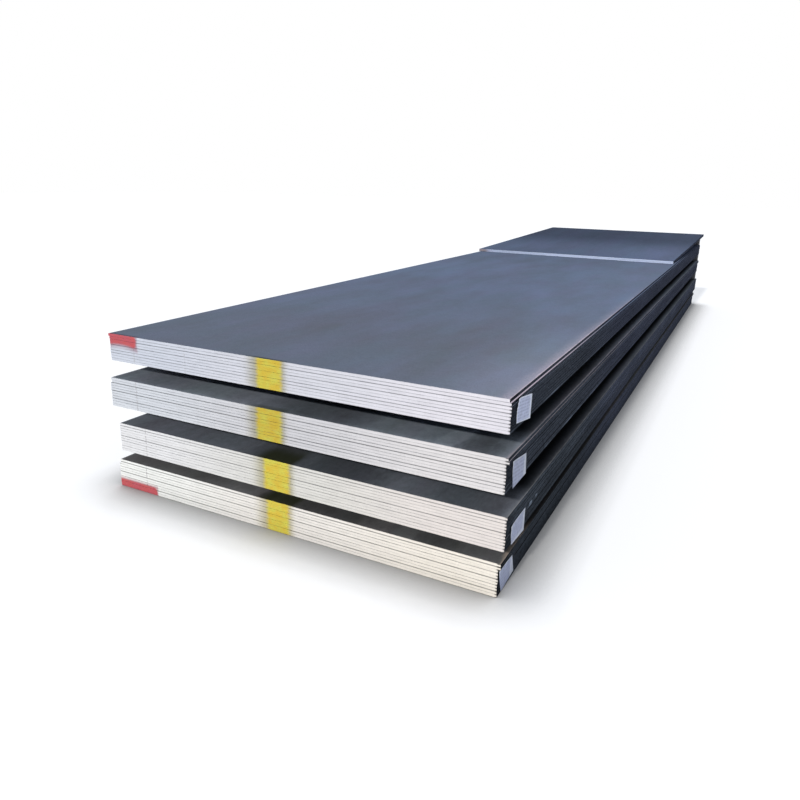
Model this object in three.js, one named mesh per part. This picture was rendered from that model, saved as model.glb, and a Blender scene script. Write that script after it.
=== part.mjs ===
// Stack of hot-rolled steel plates: four bundles on hidden timber battens, two short plates
// on top at the far end, and a paper label on the right side of each bundle.
// Millimetres, +Z up. The freshly cut short edges face -Y, the labels face +X.
import * as THREE from 'three';

// Plates
const PLATE_WIDTH = 1500;
const PLATE_LENGTH = 6000;
const PLATE_THICKNESS = 9.5;
const CORNER_BREAK = 0.6;
const SEAT_GAP = 0.3;
const LOOSE_SEAM_GAP = 0.6;
const SIDE_SCATTER = 1.2;
const END_SCATTER = 0.8;

// Timber battens between the bundles
const UPPER_BATTEN_HEIGHT = 60;
const MIDDLE_BATTEN_HEIGHT = 72;
const LOWER_BATTEN_HEIGHT = 35;
const BATTEN_WIDTH = 80;
const BATTEN_END_INSET = 150;
const REAR_BATTEN_END_INSET = 5;
const BATTEN_FRONT_INSET = 650;
const BATTEN_REAR_INSET = 60;
const BATTENS_PER_GAP = 3;
const BATTEN_CORNER_BREAK = 1.5;

// Bundles, from the bottom of the stack to its top. sideShift and endShift move a whole
// bundle, battenHeight is the timber under it, and plates are counted from the bundle's top.
// A loose seam is one under the plate with that number, and ownShift moves one plate sideways.
const BUNDLES = [
  {
    name: 'bundle_4',
    plates: 11,
    battenHeight: 0,
    sideShift: -6,
    endShift: -5,
    looseSeams: [1, 5, 9],
    ownShift: { 1: 6, 2: 6 },
  },
  {
    name: 'bundle_3',
    plates: 11,
    battenHeight: LOWER_BATTEN_HEIGHT,
    sideShift: 5,
    endShift: 2,
    looseSeams: [1, 5],
    ownShift: { 1: 2 },
  },
  {
    name: 'bundle_2',
    plates: 11,
    battenHeight: MIDDLE_BATTEN_HEIGHT,
    sideShift: -2,
    endShift: -15,
    looseSeams: [2, 5, 8],
    ownShift: { 1: 3, 2: 7, 3: -1 },
  },
  {
    name: 'bundle_1',
    plates: 10,
    battenHeight: UPPER_BATTEN_HEIGHT,
    sideShift: -5,
    endShift: 0,
    looseSeams: [2, 4, 7],
    ownShift: { 1: -6 },
  },
];

// Short plates, flush at the far end and propped there by one batten. They lie a little
// askew: their front end is set in from the right and their far end sticks out there.
const SHORT_PLATES = 2;
const SHORT_LENGTH = 2165;
const SHORT_SIDE_SHIFT = -18;
const SHORT_SKEW = THREE.MathUtils.degToRad(-1);
const PROP_HEIGHT = 70;
const PROP_SIDE_INSET = 20;
const PROP_END_INSET = 60;

// Paper labels, each stuck on by hand: its middle is set from the bundle's front and
// bottom, and turn is in degrees.
const LABEL_LENGTH = 140;
const LABEL_HEIGHT = 76;
const LABEL_THICKNESS = 0.5;
const LABELS = {
  bundle_1: { fromFront: 118, fromBottom: 44, turn: -9 },
  bundle_2: { fromFront: 124, fromBottom: 38, turn: -4 },
  bundle_3: { fromFront: 115, fromBottom: 36, turn: -1 },
  bundle_4: { fromFront: 80, fromBottom: 43, turn: -3 },
};

const steel = () => new THREE.MeshStandardMaterial({ color: 0x5c6474, roughness: 0.45, metalness: 0.6 });
const timber = () => new THREE.MeshStandardMaterial({ color: 0x8a6f4c, roughness: 0.85, metalness: 0 });
const paper = () => new THREE.MeshStandardMaterial({ color: 0xbfc4d6, roughness: 0.7, metalness: 0 });

const stack = new THREE.Group();

// A flat slab standing on z = 0 with all its long corners broken, centred in X and Y.
function slabGeometry(width, length, height, cornerBreak) {
  const outline = new THREE.Shape();
  outline.moveTo(-width / 2, -length / 2);
  outline.lineTo(width / 2, -length / 2);
  outline.lineTo(width / 2, length / 2);
  outline.lineTo(-width / 2, length / 2);
  outline.closePath();
  const geometry = new THREE.ExtrudeGeometry(outline, {
    depth: height - 2 * cornerBreak,
    bevelThickness: cornerBreak,
    bevelSize: cornerBreak,
    bevelOffset: -cornerBreak,
    bevelSegments: 1,
  });
  geometry.translate(0, 0, cornerBreak);
  return geometry;
}

function addMesh(parent, name, geometry, material, x, y, z) {
  const mesh = new THREE.Mesh(geometry, material);
  mesh.name = name;
  mesh.position.set(x, y, z);
  parent.add(mesh);
  return mesh;
}

// Small, repeatable differences in how far the plates of a bundle stick out.
function scatter(index, seed) {
  return Math.sin(2.4 * index + seed) * Math.cos(1.1 * index - 2 * seed);
}

// Side and end position of one plate.
function platePosition(bundle, seed, number) {
  return {
    x: bundle.sideShift + SIDE_SCATTER * scatter(number, seed) + (bundle.ownShift[number] ?? 0),
    y: bundle.endShift + END_SCATTER * scatter(number + 1, seed + 1),
  };
}

// The rear batten is the longest: it reaches the sides of the stack.
function addBattens(bundle, bottom) {
  const first = -PLATE_LENGTH / 2 + BATTEN_FRONT_INSET;
  const step = (PLATE_LENGTH - BATTEN_FRONT_INSET - BATTEN_REAR_INSET) / (BATTENS_PER_GAP - 1);
  for (let i = 0; i < BATTENS_PER_GAP; i += 1) {
    const endInset = i === BATTENS_PER_GAP - 1 ? REAR_BATTEN_END_INSET : BATTEN_END_INSET;
    const length = PLATE_WIDTH - 2 * endInset;
    const geometry = slabGeometry(length, BATTEN_WIDTH, bundle.battenHeight, BATTEN_CORNER_BREAK);
    const name = `batten_under_${bundle.name}_${i + 1}`;
    addMesh(stack, name, geometry, timber(), 0, first + i * step, bottom);
  }
}

// Adds one bundle from the height bottom up. Plate 1 is the bundle's topmost. Returns its top
// and the height and right side of each plate.
function addBundle(bundle, seed, bottom) {
  let top = bottom;
  const sides = [];
  for (let number = bundle.plates; number >= 1; number -= 1) {
    if (number < bundle.plates) {
      top += bundle.looseSeams.includes(number) ? LOOSE_SEAM_GAP : SEAT_GAP;
    }
    const { x, y } = platePosition(bundle, seed, number);
    const geometry = slabGeometry(PLATE_WIDTH, PLATE_LENGTH, PLATE_THICKNESS, CORNER_BREAK);
    const name = `${bundle.name}_plate_${String(number).padStart(2, '0')}`;
    addMesh(stack, name, geometry, steel(), x, y, top);
    sides.push({ low: top, high: top + PLATE_THICKNESS, right: x + PLATE_WIDTH / 2 });
    top += PLATE_THICKNESS;
  }
  return { top, sides };
}

// A label lies against the plate that sticks out most among those that it covers.
function addLabel(bundle, bottom, sides) {
  const { fromFront, fromBottom, turn } = LABELS[bundle.name];
  const middle = bottom + fromBottom;
  const covered = sides.filter(
    ({ low, high }) => high > middle - LABEL_HEIGHT / 2 && low < middle + LABEL_HEIGHT / 2);
  const right = Math.max(...covered.map((side) => side.right));
  const geometry = new THREE.BoxGeometry(LABEL_THICKNESS, LABEL_LENGTH, LABEL_HEIGHT);
  const x = right + SEAT_GAP + LABEL_THICKNESS / 2;
  const y = -PLATE_LENGTH / 2 + bundle.endShift + fromFront;
  const label = addMesh(stack, `label_${bundle.name}`, geometry, paper(), x, y, middle);
  label.rotation.x = THREE.MathUtils.degToRad(turn);
}

// The short plates lean: their front edge lies on the stack and the prop lifts their far end.
function addShortPlates(top, topBundleX) {
  const propFront = SHORT_LENGTH - PROP_END_INSET - BATTEN_WIDTH;
  const pile = new THREE.Group();
  pile.position.set(topBundleX + SHORT_SIDE_SHIFT, PLATE_LENGTH / 2 - SHORT_LENGTH, top + SEAT_GAP);
  pile.rotation.z = SHORT_SKEW;
  stack.add(pile);

  const leaning = new THREE.Group();
  leaning.rotation.x = Math.atan2(PROP_HEIGHT + SEAT_GAP, propFront);
  pile.add(leaning);
  for (let i = 0; i < SHORT_PLATES; i += 1) {
    const geometry = slabGeometry(PLATE_WIDTH, SHORT_LENGTH, PLATE_THICKNESS, CORNER_BREAK);
    const z = i * (PLATE_THICKNESS + SEAT_GAP);
    addMesh(leaning, `short_plate_${SHORT_PLATES - i}`, geometry, steel(), 0, SHORT_LENGTH / 2, z);
  }

  const length = PLATE_WIDTH - 2 * PROP_SIDE_INSET;
  const prop = slabGeometry(length, BATTEN_WIDTH, PROP_HEIGHT, BATTEN_CORNER_BREAK);
  addMesh(pile, 'prop_batten', prop, timber(), 0, propFront + BATTEN_WIDTH / 2, 0);
}

let height = 0;
BUNDLES.forEach((bundle, seed) => {
  if (bundle.battenHeight > 0) {
    addBattens(bundle, height + SEAT_GAP);
    height += bundle.battenHeight + 2 * SEAT_GAP;
  }
  const bottom = height;
  const { top, sides } = addBundle(bundle, seed, bottom);
  addLabel(bundle, bottom, sides);
  height = top;
});
addShortPlates(height, BUNDLES.at(-1).sideShift);

// The origin is the centre of the footprint, on the ground.
stack.updateMatrixWorld(true);
const box = new THREE.Box3().setFromObject(stack, true);
const centre = box.getCenter(new THREE.Vector3());
stack.position.set(-centre.x, -centre.y, -box.min.z);

export default stack;
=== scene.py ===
import functools
import math

import bpy
import bmesh
from mathutils import Matrix, Vector


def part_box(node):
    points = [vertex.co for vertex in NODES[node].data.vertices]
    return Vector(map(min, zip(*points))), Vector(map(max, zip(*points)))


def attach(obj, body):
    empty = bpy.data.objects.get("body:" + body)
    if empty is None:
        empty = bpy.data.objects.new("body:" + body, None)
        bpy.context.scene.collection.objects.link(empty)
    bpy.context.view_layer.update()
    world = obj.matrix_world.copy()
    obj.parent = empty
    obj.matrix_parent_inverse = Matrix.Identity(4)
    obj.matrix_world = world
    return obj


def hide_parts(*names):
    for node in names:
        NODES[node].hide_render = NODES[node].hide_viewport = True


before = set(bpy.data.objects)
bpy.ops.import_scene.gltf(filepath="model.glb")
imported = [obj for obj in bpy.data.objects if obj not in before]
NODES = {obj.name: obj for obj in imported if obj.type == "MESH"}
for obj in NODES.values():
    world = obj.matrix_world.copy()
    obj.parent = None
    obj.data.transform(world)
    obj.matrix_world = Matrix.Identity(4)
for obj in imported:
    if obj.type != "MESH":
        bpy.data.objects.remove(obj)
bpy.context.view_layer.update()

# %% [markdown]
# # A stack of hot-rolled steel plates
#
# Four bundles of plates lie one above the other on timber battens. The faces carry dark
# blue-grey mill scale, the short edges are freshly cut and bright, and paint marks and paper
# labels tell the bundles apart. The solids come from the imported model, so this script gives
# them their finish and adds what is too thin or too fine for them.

BUNDLES = ("bundle_1", "bundle_2", "bundle_3", "bundle_4")
MM = 0.001


def nodes_named(start):
    """The CAD nodes whose names start with this word, in order."""
    return [NODES[name] for name in sorted(NODES) if name.startswith(start)]


def joint_box(objects):
    """Lowest and highest corner of several CAD nodes together."""
    boxes = [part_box(o.name) for o in objects]
    low = Vector(min(b[0][axis] for b in boxes) for axis in range(3))
    high = Vector(max(b[1][axis] for b in boxes) for axis in range(3))
    return low, high


for bundle in BUNDLES:
    low, high = joint_box(nodes_named(bundle))
    print(bundle, "stands from", round(low.z, 4), "to", round(high.z, 4), "m")

# %% [markdown]
# ## The camera
#
# The stack is seen from its front right corner, a little above eye level for its height. A
# camera has a place, a direction, a roll about that direction and a lens. Here they are
# turned into the three axes of the camera, because that needs no guess about the order of
# three angles. A small shift moves what the lens takes in without turning the camera.

# %% Camera
CAMERA_PLACE = Vector((1.2525, -4.6981, 1.1359))
CAMERA_HEADING = math.radians(-28.36)
CAMERA_TILT = math.radians(16.56)
CAMERA_ROLL = math.radians(1.04)
CAMERA_LENS = 31.23
CAMERA_SHIFT = (0.0333, -0.016)
CAMERA_REACH = 200


def camera_turn(heading, tilt, roll):
    """The camera's axes: heading turns it from +Y towards +X, tilt points it down."""
    forward = Vector((
        math.sin(heading) * math.cos(tilt),
        math.cos(heading) * math.cos(tilt),
        -math.sin(tilt),
    ))
    level = Vector((math.cos(heading), -math.sin(heading), 0))
    upward = level.cross(forward)
    right = level * math.cos(roll) + upward * math.sin(roll)
    up = upward * math.cos(roll) - level * math.sin(roll)
    return Matrix((right, up, -forward)).transposed()


bpy.ops.object.select_all(action="DESELECT")
bpy.ops.object.camera_add(location=CAMERA_PLACE)
camera = bpy.context.object
camera.name = "view_camera"
camera.rotation_euler = camera_turn(CAMERA_HEADING, CAMERA_TILT, CAMERA_ROLL).to_euler()
camera.data.lens = CAMERA_LENS
camera.data.shift_x, camera.data.shift_y = CAMERA_SHIFT
camera.data.clip_end = CAMERA_REACH
bpy.context.scene.camera = camera
print("camera at", tuple(round(v, 2) for v in camera.location), "lens", camera.data.lens)

# %% [markdown]
# ## Small helpers for shader graphs
#
# A procedural finish is a graph of small nodes. Wiring each by hand takes many lines, so
# each kind that this file uses often gets one short function. Most of them return the output
# socket, so that calls can be nested like a formula. A socket knows the tree that it is in,
# so only the first node of a graph has to be given its tree.

# %% Helpers for shader graphs
# Most values of a noise lie between these two.
MOST_NOISE = (0.3, 0.7)


def add_node(tree, kind, **settings):
    """A shader node with its plain settings, such as operation or blend_type."""
    node = tree.nodes.new(kind)
    for key, value in settings.items():
        setattr(node, key, value)
    return node


def plug(target, value):
    """Gives an input socket its value, or a link where the value is another socket."""
    if isinstance(value, bpy.types.NodeSocket):
        target.id_data.links.new(value, target)
    elif target.type == "RGBA":
        target.default_value = (*value, 1)
    else:
        target.default_value = value


def fill(node, *values, **named):
    """Plugs values into a node's inputs, by order or by name. An underscore is a space."""
    for target, value in zip(node.inputs, values):
        plug(target, value)
    for key, value in named.items():
        plug(node.inputs[key.replace("_", " ")], value)
    return node


def tree_of(*values):
    """The node tree that the sockets among these values are in."""
    return next(v.id_data for v in values if isinstance(v, bpy.types.NodeSocket))


def calc(operation, *values, clamp=False):
    """One Math node."""
    node = add_node(tree_of(*values), "ShaderNodeMath", operation=operation, use_clamp=clamp)
    return fill(node, *values).outputs[0]


def total(*values):
    """All values added together."""
    return functools.reduce(lambda a, b: calc("ADD", a, b), values)


def product(*values):
    """All values multiplied together."""
    return functools.reduce(lambda a, b: calc("MULTIPLY", a, b), values)


def minus(a, b):
    """The first value less the second."""
    return calc("SUBTRACT", a, b)


def apart(a, b):
    """How far two values are from each other."""
    return calc("ABSOLUTE", minus(a, b))


def around(value, amount, middle=0.0):
    """A random value from 0 to 1 turned into one that swings by amount about the middle."""
    return calc("MULTIPLY_ADD", value, amount, middle - amount / 2)


def blend(factor, a, b, kind="MIX"):
    """One colour over another."""
    tree = tree_of(factor, a, b)
    node = add_node(tree, "ShaderNodeMix", data_type="RGBA", blend_type=kind)
    return fill(node, Factor=factor, A=a, B=b).outputs["Result"]


def between(factor, a, b):
    """A value between two others."""
    node = add_node(tree_of(factor, a, b), "ShaderNodeMix", data_type="FLOAT")
    return fill(node, Factor=factor, A=a, B=b).outputs["Result"]


def lit(colour, light):
    """A colour made lighter or darker by a value."""
    node = add_node(tree_of(colour, light), "ShaderNodeVectorMath", operation="SCALE")
    return fill(node, colour, Scale=light).outputs[0]


def fade(value, start, end, low=0.0, high=1.0):
    """A smooth step: low where value is at start, high where it is at end."""
    node = add_node(value.id_data, "ShaderNodeMapRange", interpolation_type="SMOOTHSTEP")
    fill(node, Value=value, From_Min=start, From_Max=end, To_Min=low, To_Max=high)
    return node.outputs["Result"]


def stretch(vector, scale):
    """The vector scaled by its own factor along each axis."""
    node = add_node(vector.id_data, "ShaderNodeVectorMath", operation="MULTIPLY")
    return fill(node, vector, scale).outputs[0]


def shifted(vector, offset):
    """The vector moved, so that the same noise looks different."""
    node = add_node(vector.id_data, "ShaderNodeVectorMath", operation="ADD")
    return fill(node, vector, offset).outputs[0]


def noise(place, scale, detail=2.0, roughness=0.5):
    """Soft random values from 0 to 1 with their middle at 0.5.

    scale is one number, or one number for each axis, which stretches the pattern."""
    if isinstance(scale, tuple):
        place, scale = stretch(place, scale), 1.0
    node = add_node(place.id_data, "ShaderNodeTexNoise")
    fill(node, Vector=place, Scale=scale, Detail=detail, Roughness=roughness)
    return node.outputs["Fac"]


def split(vector):
    """The x, y and z of a vector."""
    return tuple(fill(add_node(vector.id_data, "ShaderNodeSeparateXYZ"), vector).outputs)


def bump(height, strength, distance):
    """A normal that follows a height."""
    node = add_node(height.id_data, "ShaderNodeBump")
    return fill(node, Strength=strength, Distance=distance, Height=height).outputs["Normal"]


def new_group(name, outputs, **inputs):
    """The inputs and the last node of a new, empty node group.

    An input is given with its default, a colour or a value. Every group also takes Place, the
    point on the object. It puts out values, apart from Colour."""
    tree = bpy.data.node_groups.new(name, "ShaderNodeTree")
    tree.interface.new_socket("Place", in_out="INPUT", socket_type="NodeSocketVector")
    for key, default in inputs.items():
        kind = "NodeSocketColor" if isinstance(default, tuple) else "NodeSocketFloat"
        label = key.replace("_", " ")
        socket = tree.interface.new_socket(label, in_out="INPUT", socket_type=kind)
        socket.default_value = (*default, 1) if isinstance(default, tuple) else default
    for label in outputs:
        kind = "NodeSocketColor" if label == "Colour" else "NodeSocketFloat"
        tree.interface.new_socket(label, in_out="OUTPUT", socket_type=kind)
    return add_node(tree, "NodeGroupInput").outputs, add_node(tree, "NodeGroupOutput")


def close_group(result, **outputs):
    """The group, with what it puts out plugged into its last node."""
    group = fill(result, **outputs).id_data
    print("built", group.name, "with", len(group.nodes), "nodes")
    return group


def place_group(group, place, **values):
    """The outputs of a node group that is placed in a material."""
    node = add_node(place.id_data, "ShaderNodeGroup", node_tree=group)
    return fill(node, Place=place, **values).outputs


def new_material(name):
    """A new material, its node tree and its shader."""
    material = bpy.data.materials.new(name)
    material.use_nodes = True
    return material, material.node_tree, material.node_tree.nodes["Principled BSDF"]


print("helpers for shader graphs are ready")

# %% [markdown]
# ## Light and floor
#
# Outdoors such a stack stands in open light with a low sun in front of it, a little to its
# left: the cut front edges shine, the light reaches deep into the gaps, and the long right
# side stays dark. A narrow lamp stands for that sun. A second, very wide lamp high above the
# stack gives the soft light on the faces and a short shadow round its foot, and a pale world
# fills the rest.
#
# The floor is plain and pale. To the camera and to reflections it glows a little, so that it
# is white and still takes the stack's shadow. An Ambient Occlusion node makes the floor darker
# and its glow weaker at the stack's foot: a painted shadow round the foot.

# %% Light and floor
WHITE = (1, 1, 1)
SKY_LIGHT = 0.32
SKY_COLOUR = (0.89, 0.93, 1.0)
# Each lamp: the direction that it shines from, its energy, its width in degrees, its colour.
LAMPS = {
    "low_front_lamp": ((-0.025, -0.889, 0.457), 2.05, 2.5, (1.0, 0.975, 0.94)),
    "soft_high_lamp": ((0.0, 0.3, 1.2), 1.27, 40, SKY_COLOUR),
}
LAMP_DISTANCE = 5
FLOOR_SIZE = 80
FLOOR_DROP = 0.5 * MM
FLOOR_COLOUR = (0.9, 0.9, 0.9)
FLOOR_GLOW = 0.2
FOOT_SHADE_WIDTH = 0.2
FOOT_SHADE_POWER = 1.5
FOOT_SHADE_SAMPLES = 12


def seen_rays(tree):
    """1 for camera, glossy and transmission rays, and 0 for the rays that light things."""
    rays = add_node(tree, "ShaderNodeLightPath").outputs
    seen = rays["Is Camera Ray"]
    for name in ("Is Glossy Ray", "Is Transmission Ray"):
        seen = calc("MAXIMUM", seen, rays[name])
    return seen


def build_world():
    """A soft sky that lights the stack, and a white backdrop that is seen in its place."""
    world = bpy.data.worlds.new("open_sky")
    world.use_nodes = True
    bpy.context.scene.world = world
    tree = world.node_tree
    tree.nodes.clear()
    light = add_node(tree, "ShaderNodeBackground")
    fill(light, Color=SKY_COLOUR, Strength=SKY_LIGHT)
    backdrop = add_node(tree, "ShaderNodeBackground")
    fill(backdrop, Color=WHITE, Strength=1.0)
    mix = add_node(tree, "ShaderNodeMixShader")
    fill(mix, seen_rays(tree), light.outputs[0], backdrop.outputs[0])
    fill(add_node(tree, "ShaderNodeOutputWorld"), Surface=mix.outputs[0])


def build_floor():
    """A wide pale floor, just under the stack."""
    bpy.ops.mesh.primitive_plane_add(size=FLOOR_SIZE, location=(0, 0, -FLOOR_DROP))
    floor = bpy.context.object
    floor.name = "floor"
    material, tree, surface = new_material("pale_floor")
    # Painted shadow: ambient occlusion darkens the floor and its glow at the stack's foot.
    near = add_node(tree, "ShaderNodeAmbientOcclusion", samples=FOOT_SHADE_SAMPLES)
    fill(near, Distance=FOOT_SHADE_WIDTH)
    painted_foot_shade = calc("POWER", near.outputs["AO"], FOOT_SHADE_POWER)
    fill(
        surface, Base_Color=lit(FLOOR_COLOUR, painted_foot_shade), Roughness=0.9,
        Specular_IOR_Level=0.1, Emission_Color=WHITE,
        Emission_Strength=product(seen_rays(tree), FLOOR_GLOW, painted_foot_shade))
    floor.data.materials.append(material)


def build_lamp(name, direction, energy, spread, colour):
    """A distant lamp that shines from this direction."""
    bpy.ops.object.light_add(type="SUN", location=Vector(direction) * LAMP_DISTANCE)
    lamp = bpy.context.object
    lamp.name = name
    lamp.data.energy = energy
    lamp.data.angle = math.radians(spread)
    lamp.data.color = colour
    lamp.rotation_euler = Vector(direction).to_track_quat("Z", "Y").to_euler()


build_world()
build_floor()
for lamp_name, (direction, energy, spread, colour) in LAMPS.items():
    build_lamp(lamp_name, direction, energy, spread, colour)
bpy.context.scene.view_settings.view_transform = "Standard"
print("sky", SKY_LIGHT, "and", len(LAMPS), "lamps")

# %% [markdown]
# ## Mill scale
#
# Hot-rolled plate leaves the mill under a thin, hard skin of oxide. It is blue-grey, with
# soft clouds where it cooled unevenly, bands along the rolling direction and a fine speckle.
# Noises of different size and stretch make it. Two of them also swing the colour between a
# greyer and a bluer tone, and another gives it a green or a lilac cast, because the hue of
# real scale changes with its thickness.

# %% Mill scale group
GREEN_CAST = (0.97, 1.01, 0.985)
LILAC_CAST = (1.035, 0.99, 1.015)
CAST_SHIFT = (7, 3, 11)


def build_mill_scale():
    entry, result = new_group(
        "mill_scale", ("Colour", "Gloss", "Height"), Grey_Colour=(0.15, 0.15, 0.17),
        Blue_Colour=(0.13, 0.16, 0.23), Blue_Amount=0.5, Cloud_Amount=0.3, Band_Amount=0.3)
    place = entry["Place"]
    clouds = noise(place, (2.2, 0.55, 2.2))
    patches = noise(place, (7, 1.4, 7), 4, 0.6)
    bands = noise(place, (14, 0.8, 14), 3, 0.6)
    mottle = noise(place, (40, 26, 40), 4, 0.65)
    speckle = noise(place, (240, 70, 240), 2, 0.7)
    tint = noise(shifted(place, CAST_SHIFT), (6, 1.2, 6), 4, 0.6)
    hue = total(entry["Blue Amount"], around(patches, 0.9))
    hue = calc("ADD", hue, around(clouds, 0.5), clamp=True)
    base = blend(hue, entry["Grey Colour"], entry["Blue Colour"])
    cast = blend(fade(tint, *MOST_NOISE), GREEN_CAST, LILAC_CAST)
    base = blend(1.0, base, cast, "MULTIPLY")
    swing = total(around(clouds, 0.7), around(patches, 1.0))
    swing = calc("MULTIPLY_ADD", around(bands, 1.0), entry["Band Amount"], swing)
    swing = total(swing, around(mottle, 1.0))
    light = calc("MULTIPLY_ADD", swing, entry["Cloud Amount"], 1.0)
    light = total(light, around(speckle, 0.4))
    return close_group(
        result, Colour=lit(base, light), Gloss=fade(patches, *MOST_NOISE, 0.6, 1.0),
        Height=calc("MULTIPLY_ADD", bands, 0.4, speckle))


mill_scale = build_mill_scale()

# %% [markdown]
# ## Freshly cut edges
#
# The short edges were cut after rolling, so they show bare metal: nearly white, with fine
# upright drag lines from the cut, long flat smears and soft blots. The colour drifts from the
# left corner to the right one, so the group takes three.

# %% Cut edge group
# Where one colour drifts into the next, in metres from the middle.
LEFT_TO_MIDDLE = (-0.6, 0.0)
MIDDLE_TO_RIGHT = (0.05, 0.65)


def build_cut_edge():
    entry, result = new_group(
        "cut_edge", ("Colour", "Height"), Left_Colour=(0.6, 0.62, 0.7),
        Middle_Colour=(0.7, 0.7, 0.75), Right_Colour=(0.7, 0.7, 0.72))
    place = entry["Place"]
    x, _, _ = split(place)
    base = blend(fade(x, *LEFT_TO_MIDDLE), entry["Left Colour"], entry["Middle Colour"])
    base = blend(fade(x, *MIDDLE_TO_RIGHT), base, entry["Right Colour"])
    drag = noise(place, (420, 420, 40), 2, 0.6)
    smears = noise(place, (7, 7, 105), 3, 0.6)
    blots = noise(place, (18, 18, 40), 3, 0.6)
    light = total(around(drag, 0.16, 1.0), around(smears, 0.22), around(blots, 0.16))
    return close_group(result, Colour=lit(base, light), Height=drag)


cut_edge = build_cut_edge()

# %% [markdown]
# ## Seams between the plates
#
# A seam is a dark line of painted shade and dirt, because the broken corners above and below it
# see little light and hold dirt. Not all seams are the same: plates that don't lie quite flat
# leave a wider one. The group paints shade on the broken corners and takes the heights of up to
# four wide seams. At the right corner of the front the seams open into short notches of painted
# shade, so that the corner looks toothed.

# %% Seam group
SEAM_INPUTS = ("Seam A", "Seam B", "Seam C", "Seam D")
NO_SEAM = -1.0
# The light on a broken corner, in a seam and in a notch, where they are darkest.
CORNER_LIGHT = 0.68
SEAM_LIGHT = 0.83
NOTCH_LIGHT = 0.2
NOTCH_DEPTH = 8 * MM
# From the middle of a seam outward, where its shade starts to fade and where it ends. The
# first two are shares of the step from plate to plate.
SEAM_REACH = (0.06, 0.3)
NOTCH_REACH = (0.16, 0.36)
WIDE_SEAM_REACH = (0.7 * MM, 3 * MM)
# The flatness of a broken corner, and of a surface that faces squarely to its side.
SQUARE = (0.75, 0.95)


def build_seam_shade():
    entry, result = new_group(
        "seam_shade", ("Light",), Flatness=1.0, Bottom=0.0, Pitch=0.01, Wide_Light=0.7,
        Right=0.75, **dict.fromkeys(SEAM_INPUTS, NO_SEAM))
    place = entry["Place"]
    x, _, z = split(place)
    change = noise(place, (2.5, 2.5, 102))
    corner_light = fade(change, *MOST_NOISE, CORNER_LIGHT, 1.0)
    light = fade(entry["Flatness"], *SQUARE, corner_light, 1.0)
    steps = calc("DIVIDE", minus(z, entry["Bottom"]), entry["Pitch"])
    away = apart(calc("FRACT", total(steps, 0.5)), 0.5)
    strength = noise(place, (14, 14, 102))
    seam_light = fade(strength, *MOST_NOISE, SEAM_LIGHT, 1.0)
    light = product(light, fade(away, *SEAM_REACH, seam_light, 1.0))
    from_right = minus(entry["Right"], x)
    notch_light = fade(from_right, 0.0, NOTCH_DEPTH, NOTCH_LIGHT, 1.0)
    light = product(light, fade(away, *NOTCH_REACH, notch_light, 1.0))
    for label in SEAM_INPUTS:
        wide_light = fade(apart(z, entry[label]), *WIDE_SEAM_REACH, entry["Wide Light"], 1.0)
        light = product(light, wide_light)
    return close_group(result, Light=light)


seam_shade = build_seam_shade()

# %% [markdown]
# ## Sprayed and brushed paint
#
# Each bundle has a yellow band sprayed down its front, and two bundles have a red patch at
# the left corner. One group gives a soft-edged box of paint on the front. Its outline jumps
# a little from plate to plate, because the can or brush skips at each seam. Beside the box
# there is a halo of thin overspray, which is darker than the bare metal and reaches further
# to the left.

# %% Paint patch group
# How far the halo reaches beyond a border, in halo widths.
LONG_HALO = 2.4
SHORT_HALO = 1.2
CUT_OFF = (4 * MM, 18 * MM)


def build_paint_patch():
    entry, result = new_group(
        "paint_patch", ("Mask", "Halo", "Tone"), Left=-0.1, Right=0.0, Low=0.0, High=0.1,
        Bow=0.0, Softness=0.01, Halo_Width=0.03)
    place, left, right, softness = (entry[n] for n in ("Place", "Left", "Right", "Softness"))
    strokes = noise(place, (3, 3, 150), 2, 0.6)
    fray = noise(place, 200, 3, 0.65)
    shift = product(total(around(strokes, 1.6), around(fray, 1.6)), softness)
    x, _, z = split(place)
    x = total(x, shift)
    z = calc("MULTIPLY_ADD", shift, 0.4, z)
    middle = product(total(left, right), 0.5)
    half = product(minus(right, left), 0.5)
    across = calc("DIVIDE", minus(x, middle), half)
    hump = minus(1.0, product(across, across))
    low = calc("MULTIPLY_ADD", hump, entry["Bow"], entry["Low"])
    # Each border: what is measured, where it lies, which way is in, and its halo's reach.
    borders = (
        (x, left, 1, LONG_HALO), (x, right, -1, SHORT_HALO), (z, low, 1, LONG_HALO),
        (z, entry["High"], -1, LONG_HALO),
    )
    masks, halos, depths = [], [], []
    for value, border, inward, reach in borders:
        depth = product(minus(value, border), inward)
        depths.append(depth)
        masks.append(fade(depth, product(softness, -1), softness))
        halo = fade(depth, product(entry["Halo Width"], -reach), 0.0)
        halos.append(product(halo, halo))
    # The two right corners of the box are cut off.
    _, from_right, from_low, from_high = depths
    for depth in (from_low, from_high):
        masks.append(fade(total(depth, from_right), *CUT_OFF))
    coat = noise(place, (30, 30, 210), 3, 0.65)
    return close_group(
        result, Mask=product(*masks, fade(coat, 0.2, 0.5, 0.85, 1.0)),
        Halo=product(*halos), Tone=noise(place, (24, 24, 30), 3, 0.6))


paint_patch = build_paint_patch()
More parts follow.
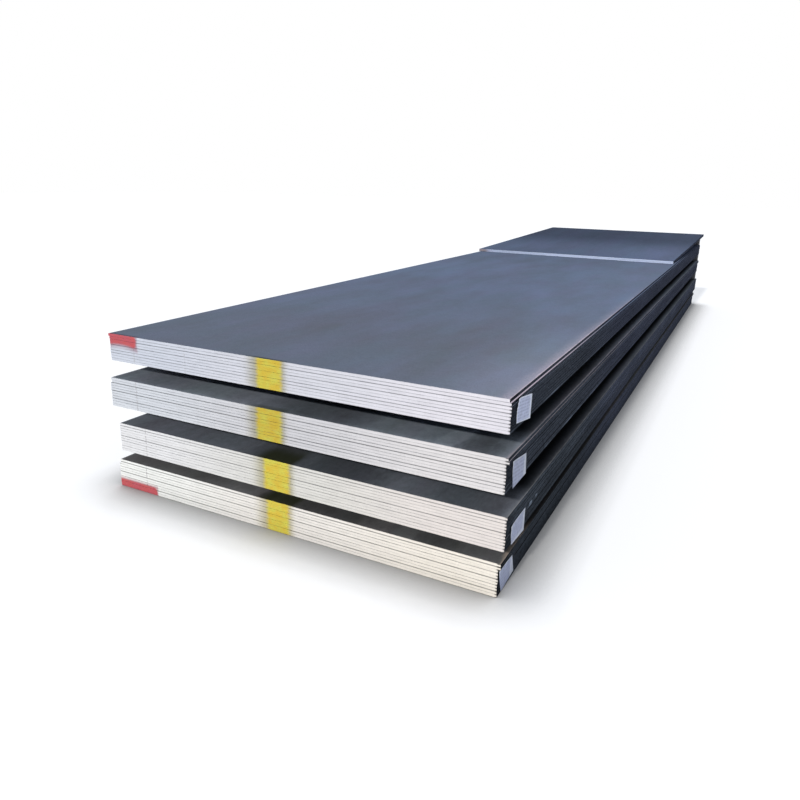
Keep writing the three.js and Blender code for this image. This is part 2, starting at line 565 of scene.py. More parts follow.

# %% [markdown]
# ## Long edges
#
# The long edges were never cut again. They keep the scale of the rolling mill and are almost
# black from the side, with fine lines along them, darker lines of painted shade from plate to
# plate and on the broken corners, grit, painted glints on the lower rim, a few chips of bare
# metal with painted glints, and a paler upper half on some bundles. Near the front the side
# has a painted cast and light of its own, and its front corner is painted darker.
# The right margin of the top face is a paler or browner strip: scale worn by slings and forks,
# and a painted highlight where the broken edge catches the light. Beside it lies a haze of
# painted light.

# %% Long edge group
# Heights are above the bundle's bottom. Places along the side are in y, and the stack's front
# is near -3. Each pair is where something starts to fade and where it ends.
# Painted light and shade: the side's own cast and light near the front, and its darker corner.
FRONT_CAST = (0.99, 1.02, 0.88)
FRONT_CAST_ENDS = (-2.4, -1.2)
FRONT_CORNER = (-2.98, -2.89)
FRONT_CORNER_LIGHT = 0.55
# Painted shade: the broken corners of the long edges are darker.
LONG_CORNER_LIGHT = 0.4
RIM_GLINT_HEIGHT = (11 * MM, 5 * MM)
RIM_GLINT_LENGTH = (-1.4, -2.6)
CHIP_GLINT_HEIGHT = 51 * MM
CHIP_GLINT_SPREAD = (10 * MM, 5 * MM)
CHIP_GLINT_LENGTH = (-2.54, -2.6)
UPPER_PART = (0.35, 0.7)
PLATE_TO_SEAM = (0.26, 0.46)
LEAST_LIGHT = 0.15
PLATE_PITCH = 9.8 * MM


def side_marks(entry, above, y):
    """Painted glints on the lower rim, and a row of chips and painted glints near the front."""
    place = entry["Place"]
    rim_glints = fade(noise(place, (1, 3, 3), 3, 0.6), 0.42, 0.62)
    rim = fade(above, *RIM_GLINT_HEIGHT)
    rim_glints = product(rim_glints, rim, fade(y, *RIM_GLINT_LENGTH), entry["Scuffs"])
    dots = fade(noise(place, (1, 22, 22), 1), 0.5, 0.62)
    row = fade(apart(above, CHIP_GLINT_HEIGHT), *CHIP_GLINT_SPREAD)
    row = product(row, fade(y, *CHIP_GLINT_LENGTH))
    return rim_glints, product(dots, row, entry["Chips"])


def build_long_edge():
    entry, result = new_group(
        "long_edge", ("Colour", "Height"), Flatness=1.0, Bottom=0.0, Rise=0.1, Upper_Light=1.0,
        Scuffs=0.0, Chips=0.0, Front_Light=1.0, Pitch=PLATE_PITCH, Plate_Light=1.0,
        Seam_Light=1.0, Skin_Colour=(0.05, 0.058, 0.085))
    place, flatness, own_colour = (entry[n] for n in ("Place", "Flatness", "Skin Colour"))
    _, y, z = split(place)
    above = minus(z, entry["Bottom"])
    lines = noise(place, (1, 1.6, 420), 3, 0.7)
    patches = noise(place, (1, 2.2, 14), 3, 0.6)
    grit = noise(place, (1, 55, 160), 3, 0.8)
    light = total(
        around(lines, 0.5, 1.0), around(patches, 0.9), around(grit, 2.6),
        *side_marks(entry, above, y))
    up = total(calc("DIVIDE", above, entry["Rise"]), around(patches, 0.5))
    from_middle = apart(calc("FRACT", calc("DIVIDE", above, entry["Pitch"])), 0.5)
    light = product(
        calc("MAXIMUM", light, LEAST_LIGHT),
        fade(flatness, *SQUARE, LONG_CORNER_LIGHT, 1.0),
        fade(up, *UPPER_PART, 1.0, entry["Upper Light"]),
        fade(y, *FRONT_CORNER, FRONT_CORNER_LIGHT, 1.0),
        fade(from_middle, *PLATE_TO_SEAM, entry["Plate Light"], entry["Seam Light"]))
    skin = blend(1.0, own_colour, FRONT_CAST, "MULTIPLY")
    skin = lit(skin, entry["Front Light"])
    skin = blend(fade(y, *FRONT_CAST_ENDS), skin, own_colour)
    return close_group(result, Colour=lit(skin, light), Height=total(lines, grit))


long_edge = build_long_edge()

# %% Worn and lit margin group
# Depths are below the bundle's top, and lengths are from its front. Below the top face the
# wear and its painted highlight reach back only half as far.
WORN_AND_LIT_DOWN_TO = (13 * MM, 11 * MM)
BELOW_TOP = (4 * MM, 8 * MM)
FULL_WEAR_AND_LIGHT = 0.1
FRONT_WIDTH_ENDS = 70 * MM


def build_worn_and_lit_margin():
    entry, result = new_group(
        "worn_and_lit_margin", ("Mask", "Haze"), Edge=0.75, Top=0.6, Front=-3.0, Front_Width=0.01,
        Rear_Width=0.01, Haze_Width=0.05, Reach=2.0)
    place, haze_width = entry["Place"], entry["Haze Width"]
    x, y, z = split(place)
    behind = minus(y, entry["Front"])
    depth = minus(entry["Top"], z)
    inward = minus(entry["Edge"], x)
    upper = fade(depth, *WORN_AND_LIT_DOWN_TO)
    reach = product(entry["Reach"], fade(depth, *BELOW_TOP, 1.0, 0.5))
    near = fade(behind, FULL_WEAR_AND_LIGHT, reach, 1.0, 0.0)
    # Mask: worn scale and a painted highlight along the edge. Haze: painted light beside it.
    wander = noise(place, (60, 9, 60), 4, 0.65)
    grain = noise(place, (260, 60, 260), 2, 0.7)
    width = fade(behind, 0.0, FRONT_WIDTH_ENDS, entry["Front Width"], entry["Rear Width"])
    share = total(calc("DIVIDE", inward, width), around(wander, 1.4))
    rubbed_and_lit = fade(grain, 0.15, 0.5, 0.5, 1.0)
    haze = calc("MULTIPLY_ADD", around(wander, 0.5), haze_width, inward)
    haze = fade(haze, haze_width, 0.0)
    hatch = fade(grain, 0.25, 0.7, 0.45, 1.3)
    return close_group(
        result, Mask=product(fade(share, 1.0, 0.05), rubbed_and_lit, upper, near),
        Haze=product(haze, haze, hatch, upper, near))


worn_and_lit_margin = build_worn_and_lit_margin()

# %% [markdown]
# ## The plates' finish
#
# One function joins the groups into the finish of a bundle, and each bundle gives it its own
# colours, paint, and margin of wear and painted highlight. The surface normal tells the cut
# short edges from the long edges and the faces. The gloss of the scale is a thin clear coat:
# its roughness is the same everywhere, and only its strength changes.

# %% Paint, ticks and stains
PAINTS = {
    "yellow": {
        "warm": (0.76, 0.56, 0.075), "cool": (0.66, 0.61, 0.10),
        "halo": (0.64, 0.61, 0.45), "mist": (0.030, 0.034, 0.012),
    },
    "red": {
        "warm": (0.65, 0.135, 0.14), "cool": (0.57, 0.12, 0.15),
        "halo": (0.68, 0.48, 0.51), "mist": (0.09, 0.05, 0.065),
    },
    # A darker tone for the left end of the short plates' cut edge.
    "dark_end": {
        "warm": (0.30, 0.26, 0.28), "cool": (0.24, 0.22, 0.26),
        "halo": (0.88, 0.82, 0.84), "mist": (0.09, 0.09, 0.11),
    },
}
TICK_COLOUR = (0.36, 0.35, 0.36)
TICK_HALF_WIDTH = 4 * MM
# The share of its width over which a tick, a stain or painted shade is at its full strength.
TICK_CORE = 0.3
STAIN_CORE = 0.25
# Behind a bundle's front edge, where its stains and painted shade end and where they are full.
STAIN_ENDS = (0.5, 0.2)


def painted(bare, face, place, front_mask, near_front, paint_light, patches):
    """Paints the cut edge, and a dark mist on the face just behind it.

    Paint fills the seams, so little of their shade is left in it. A patch is a paint and what
    the paint group needs for its box."""
    for paint, box in patches:
        tones = PAINTS[paint]
        patch = place_group(paint_patch, place, **box)
        halo = product(patch["Halo"], front_mask)
        bare = blend(halo, bare, blend(1.0, bare, tones["halo"], "MULTIPLY"))
        coat = blend(fade(patch["Tone"], 0.35, 0.65), tones["warm"], tones["cool"])
        coat = lit(lit(coat, around(patch["Tone"], 0.4, 1.0)), paint_light)
        bare = blend(product(patch["Mask"], front_mask), bare, coat)
        face = blend(product(patch["Halo"], near_front), face, tones["mist"])
    return bare, face


def ticked_edge(colour, place, ticks):
    """Pencil ticks on a cut edge. ticks are (x, strength)."""
    x, _, _ = split(place)
    dots = fade(noise(place, (90, 90, 260), 1), 0.38, 0.6)
    for tick_x, strength in ticks:
        mark = fade(apart(x, tick_x), TICK_HALF_WIDTH, TICK_CORE * TICK_HALF_WIDTH)
        colour = blend(product(mark, dots, strength), colour, TICK_COLOUR)
    return colour


def stained_and_shaded_face(face, place, low, high, stains_and_shade):
    """Soft stains and painted shade on the part of a face that the bundle above leaves in
    the light.

    Each is (x from the middle, half width, strength), and a strength below 0 is a pale one."""
    x, y, _ = split(place)
    wander = around(noise(place, (16, 5, 16), 3, 0.6), 0.16)
    x = total(minus(x, (low.x + high.x) / 2), wander)
    front = fade(y, low.y + STAIN_ENDS[0], low.y + STAIN_ENDS[1])
    for middle, half_width, strength in stains_and_shade:
        stain_and_shade = fade(apart(x, middle), half_width, STAIN_CORE * half_width)
        face = lit(face, minus(1.0, product(stain_and_shade, front, strength)))
    return face


print("paints:", ", ".join(PAINTS))

# %% Plate finish
# How far a surface faces to a side, from where that side's finish starts to where it is full.
TURNED = (0.4, 0.65)
FACING_UP = (0.6, 0.9)
# Places on a face, in metres: in x the right side is near 0.75, in y the front is near -3.
# Painted sky reflection: the scale turns from blue_near at the front to blue_far behind.
BLUE_DRIFT = (-2.9, -0.6)
# Painted sheen and shade: corner_light, right_light and far light up or darken parts of a face.
SHEEN_CORNER_X = (0.42, 0.76)
SHEEN_CORNER_Y = (-1.7, -2.8)
RIGHT_HALF = (0.0, 0.75)
# Painted shade under the bundle above: it starts this far behind the front edge, and a margin at
# the right stays open, the more so far from the front.
COVER_STARTS = (0.13, 0.26)
OPEN_MARGIN = (46 * MM, 3 * MM)
MARGIN_OPENS = (-2.3, -0.9, 0.22, 0.9)
# Painted light: paint on the broken corners is brighter, and so are plates between dark seams.
CORNER_PAINT = 1.25
PLATE_GAIN = 0.25
# The mist behind the front edge is full over this share of its reach.
MIST_CORE = 0.25
COAT_ROUGHNESS = 0.38
COAT_IOR = 1.35
SIDE_COAT = 0.02
CUT_COAT = 0.08


def scale_on_face(scale, place, look, low, high):
    """The scale on the faces, with the painted sheen of its corner, painted light on its far end,
    stains and painted shade, and the painted shade of the bundle above.
    """
    x, y, _ = split(place)
    corner = product(fade(x, *SHEEN_CORNER_X), fade(y, *SHEEN_CORNER_Y))
    corner = calc("MULTIPLY_ADD", corner, look["corner_light"], 1.0)
    right_light = fade(x, *RIGHT_HALF, 1.0, look["right_light"])
    *far_part, far_light = look["far"]
    far_light = fade(y, *far_part, 1.0, far_light)
    face = lit(scale["Colour"], product(corner, right_light, far_light))
    face = stained_and_shaded_face(face, place, low, high, look["stains_and_shade"])
    cover_start, cover_full = (low.y + depth for depth in COVER_STARTS)
    painted_cover_shade = fade(y, cover_start, cover_full, 0.0, look["cover"])
    margin_start, margin_full = (look["edge"] - width for width in OPEN_MARGIN)
    margin = product(fade(x, margin_start, margin_full), fade(y, *MARGIN_OPENS))
    painted_cover_shade = product(painted_cover_shade, minus(1.0, margin))
    return lit(face, minus(1.0, painted_cover_shade))


def worn_and_lit_face(face, face_mask, place, look, low, high):
    """The worn margin with its painted highlight, and the haze of painted light beside it."""
    worn_and_lit = place_group(
        worn_and_lit_margin, place, Edge=look["edge"], Top=high.z, Front=low.y,
        Front_Width=look["worn_lit_front"], Rear_Width=look["worn_lit_rear"],
        Haze_Width=look["haze_width"], Reach=look["worn_lit_reach"])
    for output, amount in (("Haze", "haze_amount"), ("Mask", "worn_lit_amount")):
        mask = product(worn_and_lit[output], face_mask, look[amount])
        face = blend(mask, face, look["worn_lit_colour"])
    return face


def plate_material(name, look, low, high):
    """The finish of some plates. low and high are the corners of their box."""
    material, tree, surface = new_material(name)
    where = add_node(tree, "ShaderNodeTexCoord").outputs
    place = where["Object"]
    _, y, _ = split(place)
    normal_x, normal_y, normal_z = split(where["Normal"])
    end_flatness = calc("ABSOLUTE", normal_y)
    side_flatness = calc("ABSOLUTE", normal_x)
    cut_mask = fade(end_flatness, *TURNED)
    front_mask = fade(normal_y, *(-limit for limit in TURNED))
    side_mask = fade(side_flatness, *TURNED)
    face_mask = fade(normal_z, *FACING_UP)

    scale = place_group(
        mill_scale, stretch(shifted(place, (0, 0, look["shift"])), (1, look["crowding"], 1)),
        Grey_Colour=look["grey"], Blue_Colour=look["blue"],
        Blue_Amount=fade(y, *BLUE_DRIFT, look["blue_near"], look["blue_far"]),
        Cloud_Amount=look["clouds"], Band_Amount=look["bands"])
    face = scale_on_face(scale, place, look, low, high)
    face = worn_and_lit_face(face, face_mask, place, look, low, high)

    left_cut, middle_cut, right_cut = look["cut"]
    cut = place_group(
        cut_edge, place, Left_Colour=left_cut, Middle_Colour=middle_cut, Right_Colour=right_cut)
    seam = place_group(
        seam_shade, place, Flatness=end_flatness, Bottom=low.z, Pitch=look["pitch"],
        Wide_Light=look["wide_seam"], Right=look["right"], **dict(zip(SEAM_INPUTS, look["seams"])))
    bare = ticked_edge(lit(cut["Colour"], seam["Light"]), place, look["ticks"])

    mist_ends = (look["mist_reach"], MIST_CORE * look["mist_reach"], 0.0, look["mist_amount"])
    near_front = product(fade(minus(y, low.y), *mist_ends), face_mask)
    # Painted light: each bundle's paint is lit by its own paint number, more on broken corners.
    paint_light = fade(end_flatness, *SQUARE, CORNER_PAINT * look["paint"], look["paint"])
    bare, face = painted(bare, face, place, front_mask, near_front, paint_light, look["patches"])

    skin = place_group(
        long_edge, place, Flatness=side_flatness, Bottom=low.z, Rise=high.z - low.z,
        Upper_Light=look["side_light"], Scuffs=look["rim_glints"], Chips=look["chips_and_glints"],
        Front_Light=look["front_side"], Pitch=look["pitch"],
        Plate_Light=1 + PLATE_GAIN * (1 - look["side_seam"]), Seam_Light=look["side_seam"],
        Skin_Colour=look["side"])
    rolled = blend(side_mask, face, skin["Colour"])

    gloss = product(scale["Gloss"], look["gloss"])
    coat = between(cut_mask, between(side_mask, gloss, SIDE_COAT), CUT_COAT)
    height = between(cut_mask, scale["Height"], cut["Height"])
    height = between(side_mask, height, skin["Height"])
    fill(
        surface, Base_Color=blend(cut_mask, rolled, bare), Roughness=0.6,
        Specular_IOR_Level=0.0, Coat_Weight=coat, Coat_Roughness=COAT_ROUGHNESS,
        Coat_IOR=COAT_IOR, Normal=bump(height, 0.2, 0.5 * MM))
    return material


print("plate finish is ready")

# %% [markdown]
# ## How the bundles look
#
# A look is a table of colours and numbers, and the plain look holds what most bundles share.
#
# - Scale: its grey and blue tones, how blue it is near and far (the change from near to far is a
#   painted sky reflection), its clouds and bands and how much they are crowded lengthways,
#   its gloss, and a shift for its noises.
# - Painted light and shade on the face: right_light, corner_light for a sheen at the front right
#   corner, far for the far end (from y, to y, light), and cover for the shade of the bundle above.
# - Long side: its colour, side_light for its upper half, side_seam for the painted shade of the
#   lines from plate to plate, front_side for the painted light at its front, and the strength
#   of the painted glints on the rim and of the chips and glints.
# - Worn margin, partly wear and partly a painted highlight: its colour, amount, width at the
#   front and behind, reach, and its haze of painted light.
# - Front: the cut edge's colours from left to right, the painted shade in wide seams, the painted
#   light on paint, the mist of paint and dirt on the face behind it, and soft stains and painted
#   shade there.

# %% The bundles' looks
PLAIN_LOOK = {
    "blue_near": 0.5, "blue_far": 0.5, "clouds": 0.6, "bands": 0.35, "crowding": 1,
    "gloss": 0.06, "right_light": 1.0, "corner_light": 0.0, "far": (-0.3, 0.7, 1.0),
    "cover": 0.92, "side": (0.046, 0.053, 0.080), "side_light": 1.0, "side_seam": 0.5,
    "front_side": 1.0, "rim_glints": 0.0, "chips_and_glints": 0.0, "worn_lit_amount": 0.85,
    "worn_lit_front": 7 * MM, "worn_lit_rear": 8 * MM, "worn_lit_reach": 3.0, "wide_seam": 0.68,
    "stains_and_shade": (),
}
LOOKS = {
    "bundle_1": {
        **PLAIN_LOOK,
        "grey": (0.134, 0.147, 0.180), "blue": (0.134, 0.172, 0.262), "shift": 0,
        "blue_near": 0.25, "blue_far": 0.8, "clouds": 0.17, "bands": 0.1, "crowding": 1.6,
        "gloss": 0.05, "right_light": 1.12, "corner_light": 0.42, "far": (-0.3, 0.7, 0.9),
        "cover": 0.0, "rim_glints": 1.8,
        "worn_lit_colour": (0.62, 0.53, 0.61), "worn_lit_amount": 0.9, "worn_lit_rear": 7 * MM,
        "haze_width": 60 * MM, "haze_amount": 0.34,
        "cut": ((0.585, 0.62, 0.70), (0.63, 0.64, 0.70), (0.725, 0.71, 0.765)),
        "wide_seam": 0.84, "paint": 0.82, "mist_reach": 22 * MM, "mist_amount": 0.7,
    },
    "bundle_2": {
        **PLAIN_LOOK,
        "grey": (0.21, 0.23, 0.25), "blue": (0.19, 0.22, 0.27), "shift": 3.0,
        "blue_far": 0.6, "side_light": 1.15, "rim_glints": 2.2,
        "worn_lit_colour": (0.36, 0.33, 0.36), "worn_lit_front": 14 * MM, "worn_lit_reach": 6.0,
        "haze_width": 45 * MM, "haze_amount": 0.13,
        "cut": ((0.62, 0.65, 0.70), (0.595, 0.595, 0.625), (0.71, 0.69, 0.695)),
        "paint": 0.75, "mist_reach": 40 * MM, "mist_amount": 0.55,
        "stains_and_shade": (
            (-0.55, 0.1, 0.12), (-0.22, 0.24, -0.16), (0.0, 0.14, 0.24), (0.18, 0.22, 0.42),
            (0.31, 0.1, -0.15), (0.57, 0.05, -0.3), (0.655, 0.08, 0.38),
        ),
    },
    "bundle_3": {
        **PLAIN_LOOK,
        "grey": (0.174, 0.186, 0.208), "blue": (0.154, 0.176, 0.214), "shift": 5.0,
        "side": (0.048, 0.056, 0.081), "side_light": 1.4, "front_side": 0.85,
        "rim_glints": 0.3, "chips_and_glints": 3.6,
        "worn_lit_colour": (0.26, 0.265, 0.28), "worn_lit_front": 8 * MM, "worn_lit_reach": 7.0,
        "haze_width": 25 * MM, "haze_amount": 0.3,
        "cut": ((0.76, 0.765, 0.785), (0.69, 0.685, 0.655), (0.76, 0.71, 0.685)),
        "paint": 0.88, "mist_reach": 170 * MM, "mist_amount": 0.88,
        "stains_and_shade": (
            (-0.06, 0.12, 0.3), (0.19, 0.24, 0.44), (0.36, 0.1, -0.2), (0.6, 0.14, 0.26),
        ),
    },
    "bundle_4": {
        **PLAIN_LOOK,
        "grey": (0.165, 0.162, 0.158), "blue": (0.145, 0.15, 0.16), "shift": 7.0,
        "right_light": 0.95, "side": (0.064, 0.074, 0.107), "side_seam": 0.65, "front_side": 0.72,
        "worn_lit_colour": (0.46, 0.38, 0.32), "worn_lit_amount": 0.9, "worn_lit_rear": 18 * MM,
        "worn_lit_reach": 0.35, "haze_width": 20 * MM, "haze_amount": 0.2,
        "cut": ((0.885, 0.90, 0.88), (0.845, 0.815, 0.78), (0.89, 0.84, 0.76)),
        "wide_seam": 0.64, "paint": 0.93, "mist_reach": 170 * MM, "mist_amount": 0.85,
        "stains_and_shade": (
            (-0.17, 0.1, -0.2), (-0.08, 0.05, 0.38), (0.17, 0.28, 0.42), (0.33, 0.06, -0.35),
            (0.55, 0.1, 0.35),
        ),
    },
    "short_plate": {
        **PLAIN_LOOK,
        "grey": (0.112, 0.132, 0.184), "blue": (0.098, 0.128, 0.204), "shift": 9.0,
        "blue_far": 0.7, "clouds": 0.3, "bands": 0.1, "gloss": 0.03, "right_light": 1.18,
        "far": (1.2, 2.3, 0.55), "cover": 0.0, "side_seam": 1.0,
        "worn_lit_colour": (0.3, 0.3, 0.34), "worn_lit_amount": 0.5, "worn_lit_front": 6 * MM,
        "worn_lit_rear": 6 * MM, "haze_width": 30 * MM, "haze_amount": 0.1,
        "cut": ((0.50, 0.58, 0.76), (0.62, 0.71, 0.92), (0.62, 0.71, 0.92)),
        "wide_seam": 0.7, "paint": 1.0, "mist_reach": 22 * MM, "mist_amount": 0.5,
    },
}
print("looks are set for", ", ".join(LOOKS))

# %% [markdown]
# ## Finish of the plates
#
# Each bundle's paint is set from its own box, so that it stays on the bundle when the plates
# change. The red patch covers the top plates of the uppermost bundle and the bottom plates of
# the lowest one.

# %% Finish of the four bundles
# The yellow band's left and right border, and each tick's place and strength. Places are in mm
# from the bundle's middle.
YELLOW_BAND = {
    "bundle_1": (-86, 10), "bundle_2": (-88, 9), "bundle_3": (-82, 18), "bundle_4": (-60, 28),
}
TICKS = {
    "bundle_1": ((-631, 0.6), (-391, 0.35)), "bundle_2": ((-626, 0.6),),
    "bundle_3": ((-621, 0.6),), "bundle_4": ((-615, 0.6),),
}
WIDE_SEAMS = {
    "bundle_1": (2, 4, 7), "bundle_2": (2, 5, 5, 8), "bundle_3": (1, 5), "bundle_4": (1, 1, 5, 9),
}
# A border this far outside the bundle doesn't show.
BEYOND = 50 * MM
# The share of a seam in the step from plate to plate.
SEAM_SHARE = 0.03


def seam_heights(bundle):
    """The height of each wide seam, which is under the plate with that number.

    A number given twice makes a darker seam."""
    heights = [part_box(f"{bundle}_plate_{number:02d}")[0].z for number in WIDE_SEAMS[bundle]]
    return heights + [NO_SEAM] * (len(SEAM_INPUTS) - len(heights))


def bundle_paint(bundle, low, high):
    """The yellow band, and the red patch where the bundle has one."""
    middle = (low.x + high.x) / 2
    left, right = (middle + border * MM for border in YELLOW_BAND[bundle])
    patches = [("yellow", dict(
        Left=left, Right=right, Low=low.z - BEYOND, High=high.z + BEYOND, Softness=10 * MM,
        Halo_Width=34 * MM))]
    if bundle == "bundle_1":
        patches.append(("red", dict(
            Left=low.x - 20 * MM, Right=middle - 618 * MM, Low=low.z + 55 * MM,
            High=high.z + 6 * MM, Bow=10 * MM, Softness=6 * MM, Halo_Width=12 * MM)))
    if bundle == "bundle_4":
        patches.append(("red", dict(
            Left=low.x - 20 * MM, Right=middle - 566 * MM, Low=low.z - BEYOND,
            High=low.z + 29 * MM, Softness=3 * MM, Halo_Width=8 * MM)))
    return patches


def dress(objects, finish):
    """Puts one finish on every object."""
    for item in objects:
        item.data.materials.clear()
        item.data.materials.append(finish)


for bundle in BUNDLES:
    plates = nodes_named(bundle)
    low, high = joint_box(plates)
    middle = (low.x + high.x) / 2
    right_sides = sorted(joint_box([plate])[1].x for plate in plates)
    finish = plate_material(f"{bundle}_steel", {
        **LOOKS[bundle],
        "patches": bundle_paint(bundle, low, high),
        "ticks": [(middle + tick_x * MM, strength) for tick_x, strength in TICKS[bundle]],
        "seams": seam_heights(bundle),
        "pitch": (high.z - low.z) / (len(plates) - SEAM_SHARE),
        "edge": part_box(f"{bundle}_plate_01")[1].x,
        "right": right_sides[len(plates) // 2],
    }, low, high)
    dress(plates, finish)
    print(bundle, "has", len(plates), "plates with", finish.name)

# %% Finish of the short plates
short_plates = nodes_named("short_plate")
low, high = joint_box(short_plates)
darker_left_end = ("dark_end", dict(
    Left=low.x - BEYOND, Right=low.x + 70 * MM, Low=low.z - BEYOND, High=high.z,
    Softness=25 * MM, Halo_Width=90 * MM))
finish = plate_material("short_plate_steel", {
    **LOOKS["short_plate"],
    "patches": [darker_left_end],
    "ticks": (),
    "seams": [NO_SEAM] * len(SEAM_INPUTS),
    "pitch": PLATE_PITCH,
    "edge": high.x,
    "right": high.x + BEYOND,
}, low, high)
dress(short_plates, finish)
print("short plates have", finish.name)

# %% [markdown]
# ## Timber battens
#
# The bundles are kept apart by sawn timber that has gone grey outdoors. Its grain runs along
# the batten. One stretched noise gives the grain, and a finer one gives the fibres, which are
# darker and stand up a little.

# %% Timber finish
TIMBER_DARK = (0.10, 0.104, 0.116)
TIMBER_PALE = (0.225, 0.228, 0.245)
FIBRE_COLOUR = (0.07, 0.07, 0.078)


def timber_material():
    material, tree, surface = new_material("sawn_timber")
    place = add_node(tree, "ShaderNodeTexCoord").outputs["Object"]
    grain = noise(place, (3, 60, 60), 4, 0.6)
    fibres = noise(place, (20, 400, 400), 2, 0.6)
    colour = blend(fade(grain, *MOST_NOISE), TIMBER_DARK, TIMBER_PALE)
    colour = blend(product(fibres, 0.35), colour, FIBRE_COLOUR)
    fill(surface, Base_Color=colour, Roughness=0.85, Normal=bump(fibres, 0.5, 1 * MM))
    return material


timber = timber_material()
battens = nodes_named("batten") + nodes_named("prop_batten")
dress(battens, timber)
print(len(battens), "battens have", timber.name)

# %% [markdown]
# ## Paper of the labels
#
# The labels are pale lavender slips with a bare margin and rows of faint grey print. What was
# printed isn't legible and isn't needed, so plain broken bars stand for it. The bars are made
# from two numbers per point: how far along the slip it is, and how far up.

# %% Label paper
MARGIN_COLOUR = (0.56, 0.60, 0.70)
SLIP_COLOUR = (0.41, 0.45, 0.60)
PRINT_COLOUR = (0.31, 0.345, 0.49)
# Where the print begins and ends, in shares of the slip's length and of its height.
PRINT_ALONG = ((0.08, 0.12), (0.91, 0.87))
PRINT_UP = ((0.05, 0.1), (0.97, 0.92))
PRINTED_ROWS = 8.0
# How fine the words are, and how far apart the rows lie in the noise that breaks them up.
WORD_SCALE = 17.0
ROW_STEP = 7.3


def build_label_print():
    entry, result = new_group(
        "label_print", ("Colour", "Paper Height"), Front=-2.9, Length=0.14, Low=0.0,
        Height=0.08, Slant=0.0, Light=1.0)
    place = entry["Place"]
    _, y, z = split(place)
    behind = minus(y, entry["Front"])
    along = calc("DIVIDE", behind, entry["Length"])
    rise = calc("MULTIPLY_ADD", behind, entry["Slant"], minus(z, entry["Low"]))
    up = calc("DIVIDE", rise, entry["Height"])
    printed = product(
        *(fade(along, *ends) for ends in PRINT_ALONG), *(fade(up, *ends) for ends in PRINT_UP))
    rows = product(up, PRINTED_ROWS)
    in_row = apart(calc("FRACT", rows), 0.5)
    words = add_node(place.id_data, "ShaderNodeCombineXYZ")
    fill(words, product(along, WORD_SCALE), product(calc("FLOOR", rows), ROW_STEP))
    word = fade(noise(words.outputs[0], 1.0, 3, 0.7), 0.44, 0.5)
    bars = product(fade(in_row, 0.3, 0.2), word, printed)
    colour = blend(printed, MARGIN_COLOUR, SLIP_COLOUR)
    colour = blend(bars, colour, PRINT_COLOUR)
    light = product(around(noise(place, 70, 3, 0.6), 0.5, 1.0), entry["Light"])
    return close_group(result, Colour=lit(colour, light), Paper_Height=noise(place, 130, 3, 0.6))


def paper_material(name, **slip_place):
    """The printed paper. slip_place is what the print group needs to find the slip."""
    material, tree, surface = new_material(name)
    place = add_node(tree, "ShaderNodeTexCoord").outputs["Object"]
    slip = place_group(label_print, place, **slip_place)
    fill(
        surface, Base_Color=slip["Colour"], Roughness=0.65, Specular_IOR_Level=0.25,
        Normal=bump(slip["Paper Height"], 0.15, 0.6 * MM))
    return material


label_print = build_label_print()

# %% [markdown]
# ## The label sheets
#
# A paper label isn't a block. It was slapped on by hand against the rough side of the bundle,
# so it lies askew, and one corner has come loose. A plane is enough to start from: its four
# corners are moved to where the sheet's corners are, it is subdivided, and then the vertices
# near the loose corner are lifted in steps. A Solidify modifier gives the paper its thickness.

# %% Tools for a sheet
# Painted light: the same paper is made lighter or darker on each bundle.
LABEL_LIGHT = {"bundle_1": 1.32, "bundle_2": 1.02, "bundle_3": 1.1, "bundle_4": 1.27}
# The corners in mm from the bundle's front and bottom: upper front, upper rear, lower rear
# and lower front.
LABEL_CORNERS = {
    "bundle_1": ((43, 91), (188, 68), (187, -7), (53, 17)),
    "bundle_2": ((50, 82), (183, 62), (195, -7), (71, -7)),
    "bundle_3": ((41, 63), (180, 64), (182, -11), (59, -3)),
    "bundle_4": ((2, 84), (127, 75), (151, 11), (36, 1)),
}
# How far the loose corner stands off in mm, and in which steps it is lifted: within so many mm
# of the corner, by this share more.
LOOSE_CORNER = {"bundle_1": 5.0, "bundle_2": 1.5, "bundle_3": 2.0, "bundle_4": 1.5}
LIFT_STEPS = ((45, 0.08), (34, 0.16), (24, 0.3), (14, 0.46))
PAPER_THICKNESS = 0.2 * MM
STUCK_AT = 0.05 * MM
PLANE_SIZE = 100 * MM
PLANE_CORNERS = ((-1, 1), (1, 1), (1, -1), (-1, -1))
PLANE_CUTS = 15


def choose(piece, test):
    """In edit mode, selects the vertices whose place passes the test, and no others."""
    mesh = bmesh.from_edit_mesh(piece.data)
    for part in (*mesh.faces, *mesh.edges):
        part.select_set(False)
    for vertex in mesh.verts:
        vertex.select_set(test(vertex.co))
    mesh.select_flush_mode()
    bmesh.update_edit_mesh(piece.data)


print("the sheets' corners are set for", len(LABEL_CORNERS), "labels")

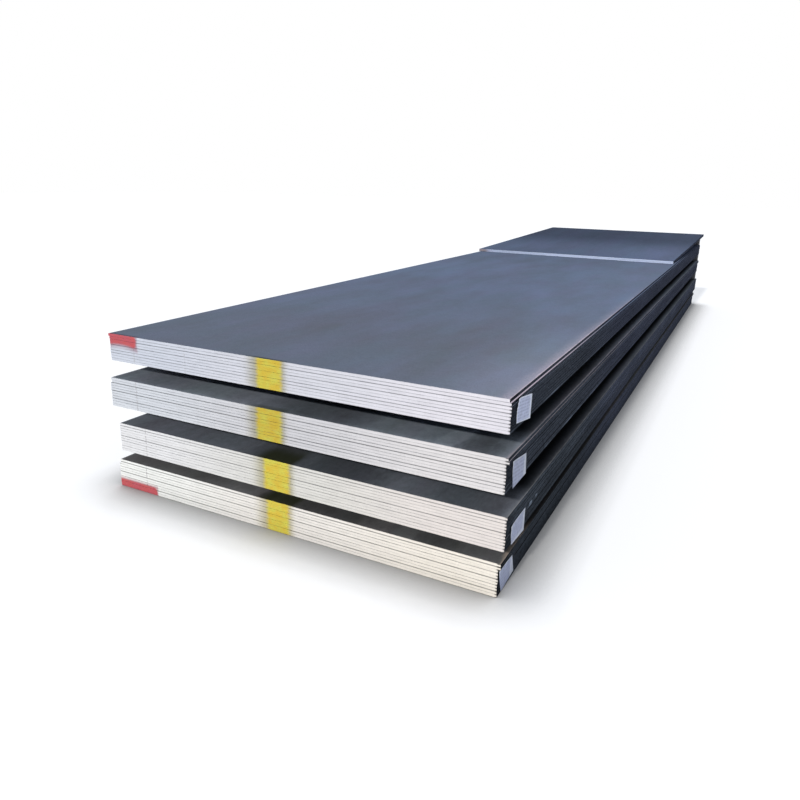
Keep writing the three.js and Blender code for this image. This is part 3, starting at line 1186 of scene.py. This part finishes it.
# %% Label sheets
def shape_sheet(sheet, middle, corners, lift):
    """Moves a plane's corners to the sheet's, divides it and lifts its loose corner."""
    bpy.ops.object.mode_set(mode="EDIT")
    for corner, (side, height) in zip(corners, PLANE_CORNERS):
        start = middle + Vector((0, side, height)) * (PLANE_SIZE / 2)
        choose(sheet, lambda place: (place - start).length < 1 * MM)
        bpy.ops.transform.translate(value=corner - start)
    bpy.ops.mesh.select_all(action="SELECT")
    bpy.ops.mesh.subdivide(number_cuts=PLANE_CUTS)
    for reach, share in LIFT_STEPS:
        choose(sheet, lambda place: (place - corners[0]).length < reach * MM)
        bpy.ops.transform.translate(value=(lift * share, 0, 0))
    bpy.ops.object.mode_set(mode="OBJECT")


def label_sheet(bundle):
    """The paper of one label, in the place of the plain block."""
    low, _ = joint_box(nodes_named(bundle))
    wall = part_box(f"label_{bundle}")[0].x + STUCK_AT
    corners = [Vector((wall, low.y + y * MM, low.z + z * MM)) for y, z in LABEL_CORNERS[bundle]]
    middle = sum(corners, Vector()) / len(corners)
    bpy.ops.object.select_all(action="DESELECT")
    facing_right = (math.radians(90), 0, math.radians(90))
    bpy.ops.mesh.primitive_plane_add(size=PLANE_SIZE, location=middle, rotation=facing_right)
    sheet = bpy.context.object
    sheet.name = f"paper_label_{bundle}"
    bpy.ops.object.transform_apply(location=True, rotation=True, scale=True)
    shape_sheet(sheet, middle, corners, LOOSE_CORNER[bundle] * MM)
    thick = sheet.modifiers.new("paper", "SOLIDIFY")
    thick.thickness = PAPER_THICKNESS
    thick.offset = 1
    bpy.ops.object.modifier_apply(modifier=thick.name)
    front_top, rear_top, _, front_low = corners
    length = rear_top.y - front_top.y
    slant = (front_top.z - rear_top.z) / length
    height = front_top.z - front_low.z + slant * (front_low.y - front_top.y)
    paper = paper_material(
        f"paper_{bundle}", Front=front_top.y, Length=length, Low=front_top.z - height,
        Height=height, Slant=slant, Light=LABEL_LIGHT[bundle])
    sheet.data.materials.append(paper)
    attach(sheet, "root")
    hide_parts(f"label_{bundle}")
    print(sheet.name, "has", len(sheet.data.polygons), "faces")


for bundle in BUNDLES:
    label_sheet(bundle)
